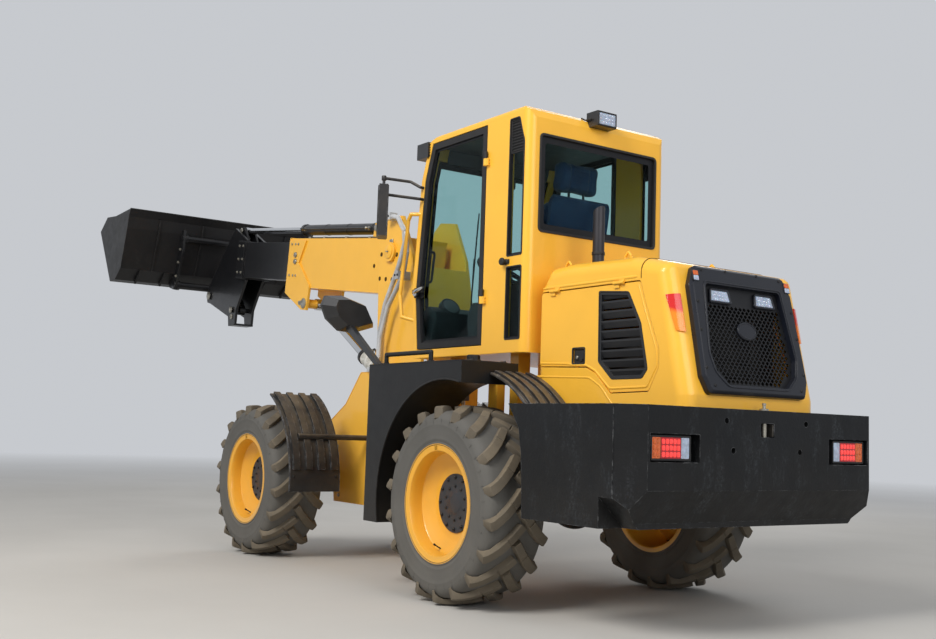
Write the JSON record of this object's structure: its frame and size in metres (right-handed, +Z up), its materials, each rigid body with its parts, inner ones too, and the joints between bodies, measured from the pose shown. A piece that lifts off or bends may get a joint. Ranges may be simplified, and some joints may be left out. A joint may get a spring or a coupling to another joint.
{
  "type": "articulated telescopic loader",
  "caption": "Articulated wheel loader with an enclosed cab, a rear engine hood and counterweight, a two-section telescopic boom on a front tower, and a wide tipping bucket.",
  "frame": {"origin": "on the ground, at the middle of the overall length and width, with the boom as stored", "axes": "+X forward to the bucket, +Y to the driver's left, +Z up"},
  "size_m": [8.225, 2.266, 3.093],
  "materials": {
    "yellow_paint": "gloss",
    "black_paint": "satin",
    "grey_iron": "matte",
    "black_plastic": "matte",
    "exhaust_steel": "satin",
    "lamp_plastic": "gloss",
    "cab_glass": "gloss",
    "seat_fabric": "matte",
    "hose_rubber": "matte",
    "chrome_rod": "polished",
    "tyre_rubber": "matte"
  },
  "bodies": {
    "rear_body": {"rear_frame": "yellow_paint", "rear_axle": "black_paint", "counterweight": "black_paint", "engine_block": "grey_iron", "hood": "yellow_paint", "rear_grille": "black_plastic", "grille_mesh": "black_plastic", "exhaust": "exhaust_steel", "rear_guards": "black_plastic", "side_boxes": "black_paint", "grab_rails": "black_paint", "lamps": "lamp_plastic", "cab_shell": "yellow_paint", "cab_glass": "cab_glass", "seat": "seat_fabric", "steering_console": "black_plastic", "mirrors": "black_plastic"},
    "front_body": {"front_frame": "yellow_paint", "front_axle": "black_paint", "front_guards": "black_plastic", "boom_hoses": "hose_rubber"},
    "boom_base": {"boom_outer": "yellow_paint", "telescope_barrel": "black_paint"},
    "boom_tip": {"boom_inner": "black_paint", "telescope_rod": "chrome_rod"},
    "bucket_body": {"coupler": "black_paint", "bucket": "black_paint"},
    "lift_barrel": {"lift_barrel": "yellow_paint"},
    "lift_rod": {"lift_rod": "chrome_rod"},
    "tilt_barrel": {"tilt_barrel": "black_paint"},
    "tilt_rod": {"tilt_rod": "chrome_rod"},
    "cab_door_left": {"cab_door_left": "black_paint", "door_glass_left": "cab_glass"},
    "hood_door_left": {"hood_door_left": "yellow_paint", "hood_louvre_left": "black_plastic"},
    "steering_left_barrel": {"steering_left_barrel": "black_paint"},
    "steering_left_rod": {"steering_left_rod": "chrome_rod"},
    "wheel_front_left": {"tyre_front_left": "tyre_rubber", "rim_front_left": "yellow_paint"},
    "wheel_rear_left": {"tyre_rear_left": "tyre_rubber", "rim_rear_left": "yellow_paint"},
    "cab_door_right": {"cab_door_right": "black_paint", "door_glass_right": "cab_glass"},
    "hood_door_right": {"hood_door_right": "yellow_paint", "hood_louvre_right": "black_plastic"},
    "steering_right_barrel": {"steering_right_barrel": "black_paint"},
    "steering_right_rod": {"steering_right_rod": "chrome_rod"},
    "wheel_front_right": {"tyre_front_right": "tyre_rubber", "rim_front_right": "yellow_paint"},
    "wheel_rear_right": {"tyre_rear_right": "tyre_rubber", "rim_rear_right": "yellow_paint"}
  },
  "joints": [
    {"name": "articulation", "type": "hinge", "parent": "rear_body", "child": "front_body", "pos_m": [-1.2915, 0, 0.7], "axis": [0, 0, 1], "range_deg": [-35, 35]},
    {"name": "boom_lift", "type": "hinge", "parent": "front_body", "child": "boom_base", "pos_m": [-0.7075, 0, 2.3], "axis": [0, -1, 0], "range_deg": [-40, 27]},
    {"name": "boom_extend", "type": "slide", "parent": "boom_base", "child": "boom_tip", "axis": [0.993, 0, 0.1184], "range_m": [-1.07, 0.08]},
    {"name": "bucket_tilt", "type": "hinge", "parent": "boom_tip", "child": "bucket_body", "pos_m": [3.2525, 0, 2.294], "axis": [0, 1, 0], "range_deg": [0, 98]},
    {"name": "wheel_front_left", "type": "hinge", "parent": "front_body", "child": "wheel_front_left", "pos_m": [0.0245, 0.825, 0.562], "axis": [0, 1, 0], "continuous": true},
    {"name": "wheel_front_right", "type": "hinge", "parent": "front_body", "child": "wheel_front_right", "pos_m": [0.0245, -0.825, 0.562], "axis": [0, 1, 0], "continuous": true},
    {"name": "wheel_rear_left", "type": "hinge", "parent": "rear_body", "child": "wheel_rear_left", "pos_m": [-2.6075, 0.825, 0.562], "axis": [0, 1, 0], "continuous": true},
    {"name": "wheel_rear_right", "type": "hinge", "parent": "rear_body", "child": "wheel_rear_right", "pos_m": [-2.6075, -0.825, 0.562], "axis": [0, 1, 0], "continuous": true},
    {"name": "cab_door_left", "type": "hinge", "parent": "rear_body", "child": "cab_door_left", "pos_m": [-2.3575, 0.575, 2.19], "axis": [0, 0, 1], "range_deg": [0, 95]},
    {"name": "hood_door_left", "type": "hinge", "parent": "rear_body", "child": "hood_door_left", "pos_m": [-3.2575, 0.508, 1.788], "axis": [1, 0, 0], "range_deg": [0, 75]},
    {"name": "cab_door_right", "type": "hinge", "parent": "rear_body", "child": "cab_door_right", "pos_m": [-2.3575, -0.575, 2.19], "axis": [0, 0, 1], "range_deg": [-95, 0]},
    {"name": "hood_door_right", "type": "hinge", "parent": "rear_body", "child": "hood_door_right", "pos_m": [-3.2575, -0.508, 1.788], "axis": [1, 0, 0], "range_deg": [-75, 0]},
    {"name": "lift_barrel_pivot", "type": "hinge", "parent": "front_body", "child": "lift_barrel", "pos_m": [-1.0875, 0, 0.88], "axis": [0, -1, 0], "range_deg": [-22.16, 15.02]},
    {"name": "lift_rod_slide", "type": "slide", "parent": "lift_barrel", "child": "lift_rod", "axis": [0.8633, 0, 0.5047], "range_m": [-0.75646, 0.51126]},
    {"name": "tilt_barrel_pivot", "type": "hinge", "parent": "boom_tip", "child": "tilt_barrel", "pos_m": [2.6425, 0, 2.104], "axis": [0, 1, 0], "range_deg": [0, 19.96]},
    {"name": "tilt_rod_slide", "type": "slide", "parent": "tilt_barrel", "child": "tilt_rod", "axis": [0.7284, 0, 0.6852], "range_m": [0, 0.36087]},
    {"name": "steering_left_pivot", "type": "hinge", "parent": "rear_body", "child": "steering_left_barrel", "pos_m": [-1.8475, 0.3, 0.715], "axis": [0, 0, 1], "range_deg": [-12.52, 12.52]},
    {"name": "steering_left_slide", "type": "slide", "parent": "steering_left_barrel", "child": "steering_left_rod", "axis": [0.9944, 0.1057, 0], "range_m": [-0.21702, 0.21702]},
    {"name": "steering_right_pivot", "type": "hinge", "parent": "rear_body", "child": "steering_right_barrel", "pos_m": [-1.8475, -0.3, 0.715], "axis": [0, 0, 1], "range_deg": [-12.52, 12.52]},
    {"name": "steering_right_slide", "type": "slide", "parent": "steering_right_barrel", "child": "steering_right_rod", "axis": [0.9944, -0.1057, 0], "range_m": [-0.21702, 0.21702]}
  ],
  "couplings": [
    {"joint": "lift_barrel_pivot", "follows": "boom_lift", "ratio": 0.54897},
    {"joint": "lift_rod_slide", "follows": "boom_lift", "m_per_rad": 1.0807},
    {"joint": "tilt_barrel_pivot", "follows": "bucket_tilt", "ratio": 0.20167},
    {"joint": "tilt_rod_slide", "follows": "bucket_tilt", "m_per_rad": 0.20981},
    {"joint": "steering_left_pivot", "follows": "articulation", "ratio": 0.35186},
    {"joint": "steering_left_slide", "follows": "articulation", "m_per_rad": -0.35199},
    {"joint": "steering_right_pivot", "follows": "articulation", "ratio": 0.35186},
    {"joint": "steering_right_slide", "follows": "articulation", "m_per_rad": 0.35199}
  ]
}
